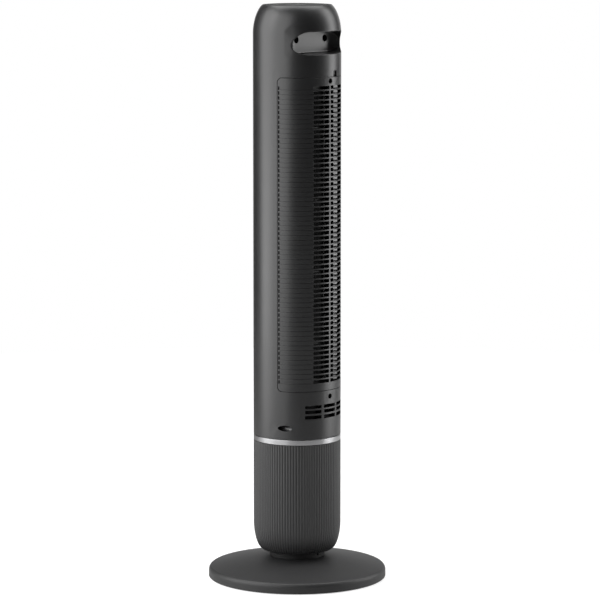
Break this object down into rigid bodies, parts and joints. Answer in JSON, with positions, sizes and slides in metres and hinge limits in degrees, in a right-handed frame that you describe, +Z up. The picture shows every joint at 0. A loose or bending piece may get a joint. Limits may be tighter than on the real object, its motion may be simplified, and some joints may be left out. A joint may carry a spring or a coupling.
{
  "type": "tower fan",
  "caption": "Slim round oscillating tower fan on a domed disc base, with a louvred rear inlet, a hand grip in the back and keys on top.",
  "frame": {"origin": "on the floor, under the middle of the round base", "axes": "+Z up along the column and its swing axis; the air outlet faces -Y, the inlet grille and the hand grip face +Y"},
  "size_m": [0.31, 0.31, 1],
  "materials": {
    "charcoal": "fine satin moulding",
    "base_plastic": "fine matt grain",
    "black_plastic": "smooth black moulding",
    "silver": "satin silver",
    "rubber": "matt",
    "steel": "drawn",
    "zinc": "zinc plated",
    "nylon": "natural nylon",
    "bronze": "sintered",
    "smoked": "polished",
    "board": "lacquered"
  },
  "bodies": {
    "base": {"base_disc": "base_plastic", "base_weight": "zinc", "base_foot_1": "rubber", "base_foot_2": "rubber", "base_foot_3": "rubber", "base_foot_4": "rubber", "base_foot_5": "rubber", "base_foot_6": "rubber", "neck_collar": "base_plastic", "cord_grommet": "rubber", "pivot_tube": "steel", "fixed_gear": "nylon", "thrust_washer": "nylon", "pivot_nut": "zinc", "base_screw_1": "zinc", "base_screw_2": "zinc", "base_screw_3": "zinc"},
    "column": {"swivel_plate": "black_plastic", "swivel_screw_1": "zinc", "swivel_screw_2": "zinc", "swivel_screw_3": "zinc", "fluted_skirt": "base_plastic", "trim_ring": "silver", "oscillation_motor": "steel", "power_board": "board", "rear_shell": "charcoal", "rear_grille": "charcoal", "front_cover": "charcoal", "front_grille": "black_plastic", "grille_screw": "zinc", "rear_screw_low": "zinc", "handle_screw_left": "zinc", "handle_screw_right": "zinc", "side_screw_left": "zinc", "side_screw_right": "zinc", "top_panel": "black_plastic", "display_window": "smoked", "control_board": "board", "motor_chassis": "black_plastic", "fan_motor": "steel", "motor_bush": "bronze", "head_plate": "black_plastic", "top_bearing_bush": "bronze", "volute_wall": "black_plastic", "vortex_tongue": "black_plastic"},
    "blower": {"blower_wheel": "black_plastic", "motor_shaft": "steel", "top_axle": "steel"},
    "pinion": {"drive_pinion": "nylon"},
    "power_key": {"button_power": "charcoal"},
    "speed_key": {"button_speed": "charcoal"},
    "mode_key": {"button_mode": "charcoal"},
    "swing_key": {"button_swing": "charcoal"},
    "timer_key": {"button_timer": "charcoal"}
  },
  "joints": [
    {"name": "oscillation", "type": "hinge", "parent": "base", "child": "column", "pos_m": [0, 0, 0.066], "axis": [0, 0, 1], "range_deg": [-45, 45]},
    {"name": "blower_spin", "type": "hinge", "parent": "column", "child": "blower", "pos_m": [0, 0, 0.34], "axis": [0, 0, 1], "continuous": true},
    {"name": "pinion_spin", "type": "hinge", "parent": "column", "child": "pinion", "pos_m": [0, -0.02895, 0.06], "axis": [0, 0, 1], "range_deg": [-136, 136]},
    {"name": "power_press", "type": "slide", "parent": "column", "child": "power_key", "axis": [0, 0, -1], "range_m": [0, 0.001], "stiffness_N_per_m": 400, "springref_m": -0.001},
    {"name": "speed_press", "type": "slide", "parent": "column", "child": "speed_key", "axis": [0, 0, -1], "range_m": [0, 0.001], "stiffness_N_per_m": 400, "springref_m": -0.001},
    {"name": "mode_press", "type": "slide", "parent": "column", "child": "mode_key", "axis": [0, 0, -1], "range_m": [0, 0.001], "stiffness_N_per_m": 400, "springref_m": -0.001},
    {"name": "swing_press", "type": "slide", "parent": "column", "child": "swing_key", "axis": [0, 0, -1], "range_m": [0, 0.001], "stiffness_N_per_m": 400, "springref_m": -0.001},
    {"name": "timer_press", "type": "slide", "parent": "column", "child": "timer_key", "axis": [0, 0, -1], "range_m": [0, 0.001], "stiffness_N_per_m": 400, "springref_m": -0.001}
  ],
  "couplings": [
    {"joint": "pinion_spin", "follows": "oscillation", "ratio": 3}
  ]
}
